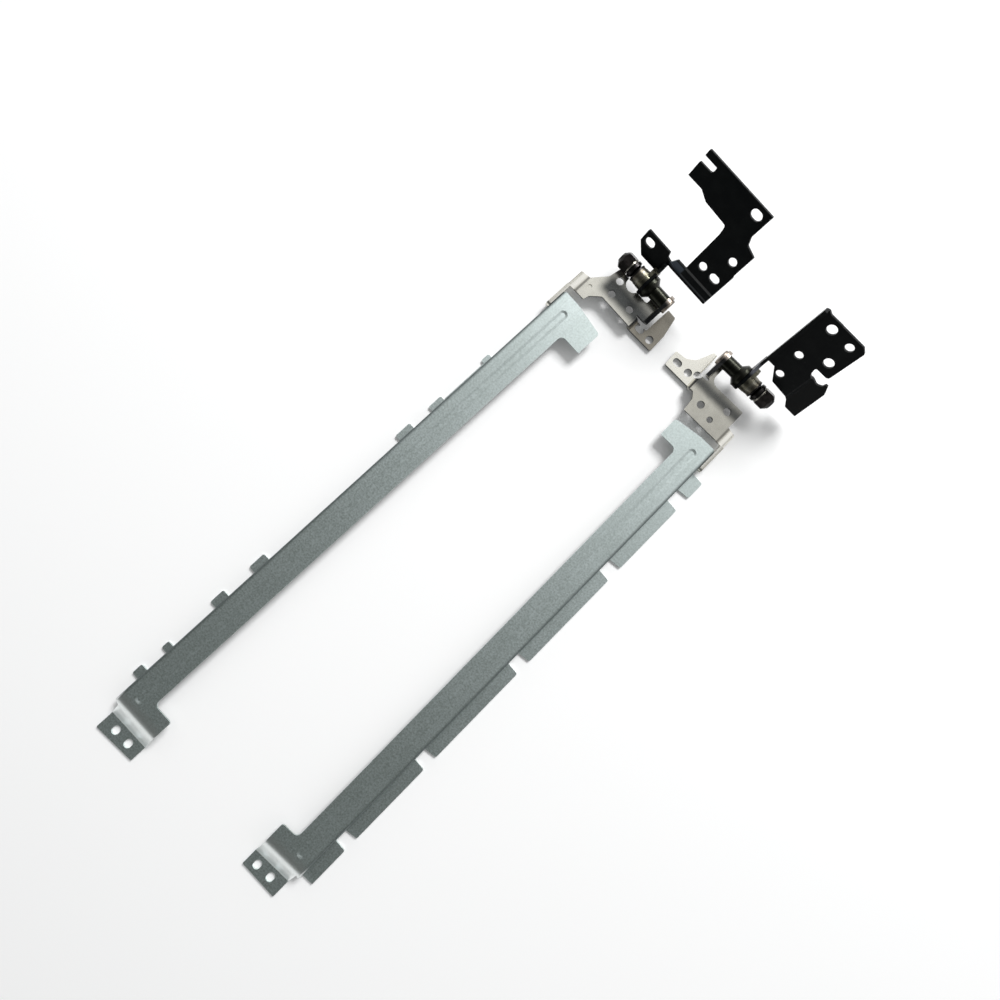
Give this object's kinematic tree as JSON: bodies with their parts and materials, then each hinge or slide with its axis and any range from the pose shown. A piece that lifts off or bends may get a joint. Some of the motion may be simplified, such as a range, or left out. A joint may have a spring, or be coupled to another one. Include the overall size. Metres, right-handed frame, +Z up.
{
  "type": "laptop hinge pair",
  "caption": "Left and right laptop lid hinges: long pressed screen rails with stepped screw feet, riveted shaft brackets, friction shafts and angled screw plates for the base.",
  "frame": {"origin": "centre of the pair's footprint, on the surface that it lies on", "axes": "+Y along the left rail from its foot to its hinge, +X from the left hinge to the right one, +Z up. The right hinge is turned 3.5 degrees from the left one"},
  "size_m": [0.0902, 0.2558, 0.0343],
  "materials": {
    "zinc_steel": "zinc-coated sheet, satin, with a fine speckle",
    "nickel_steel": "nickel plated, fairly bright",
    "rivet_steel": "nickel plated",
    "black_coat": "thin black coating, satin",
    "black_oxide": "black oxide with a film of grease, glossy",
    "dark_washer": "dark grey steel",
    "bright_washer": "bright steel",
    "bronze": "bronze, oiled",
    "spring_steel": "blackened spring steel"
  },
  "bodies": {
    "lid_side": {"left_screen_rail": "zinc_steel", "left_rail_rivets": "rivet_steel", "left_lid_bracket": "nickel_steel", "left_hinge_shaft": "black_oxide", "left_friction_washer": "bronze", "left_pressure_washer_1": "bright_washer", "left_pressure_washer_2": "bronze", "left_disc_spring_1": "spring_steel", "left_disc_spring_2": "spring_steel", "left_disc_spring_3": "spring_steel", "left_end_washer": "bright_washer", "left_lock_nut": "black_oxide", "right_screen_rail": "zinc_steel", "right_rail_rivets": "rivet_steel", "right_lid_bracket": "nickel_steel", "right_hinge_shaft": "black_oxide", "right_friction_washer": "bronze", "right_pressure_washer_1": "bright_washer", "right_pressure_washer_2": "bronze", "right_disc_spring_1": "spring_steel", "right_disc_spring_2": "spring_steel", "right_disc_spring_3": "spring_steel", "right_end_washer": "bright_washer", "right_lock_nut": "black_oxide"},
    "left_base_side": {"left_base_bracket": "black_coat", "left_tab_washer": "dark_washer"},
    "right_base_side": {"right_base_bracket": "black_coat", "right_tab_washer": "dark_washer"}
  },
  "joints": [
    {"name": "left_lid_turn", "type": "hinge", "parent": "lid_side", "child": "left_base_side", "pos_m": [-0.02609, 0.09887, 0.007], "axis": [1, 0, 0], "range_deg": [-10, 130]},
    {"name": "right_lid_turn", "type": "hinge", "parent": "lid_side", "child": "right_base_side", "pos_m": [0.01761, 0.10137, 0.007], "axis": [0.9981, 0.061, 0], "range_deg": [-14, 126]}
  ]
}
